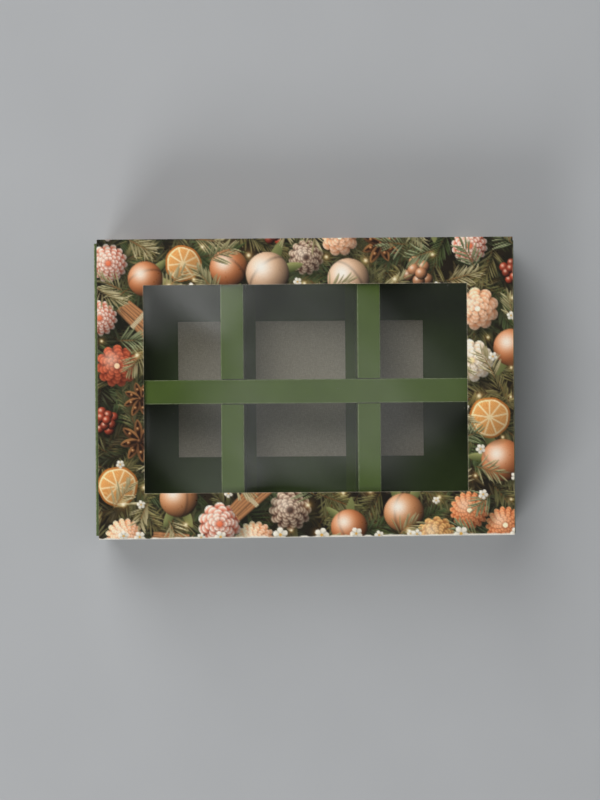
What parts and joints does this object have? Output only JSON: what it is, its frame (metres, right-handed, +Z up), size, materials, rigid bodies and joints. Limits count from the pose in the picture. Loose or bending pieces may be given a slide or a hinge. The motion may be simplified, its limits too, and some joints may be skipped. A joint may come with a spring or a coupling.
{
  "type": "window sweet box",
  "caption": "Folded-board sweet box: an open-ended printed sleeve with a clear film window over a sliding tray divided into compartments.",
  "frame": {"origin": "under the middle of the box, on the surface it rests on", "axes": "+X along the box's length, the way the tray slides; +Y towards the back panel; +Z up"},
  "size_m": [0.1818, 0.13, 0.04],
  "materials": {
    "sleeve_board": "printed and varnished",
    "glue": "dried adhesive",
    "film": "clear film",
    "tray_board": "matt coated board",
    "divider_board": "matt coated board"
  },
  "bodies": {
    "sleeve": {"sleeve": "sleeve_board", "sleeve_glue": "glue", "window_film": "film", "film_glue": "glue"},
    "tray": {"tray": "tray_board", "long_divider": "divider_board", "cross_divider_left": "divider_board", "cross_divider_right": "divider_board"}
  },
  "joints": [
    {"name": "tray_slide", "type": "slide", "parent": "sleeve", "child": "tray", "axis": [1, 0, 0], "range_m": [-0.182, 0.182]}
  ]
}
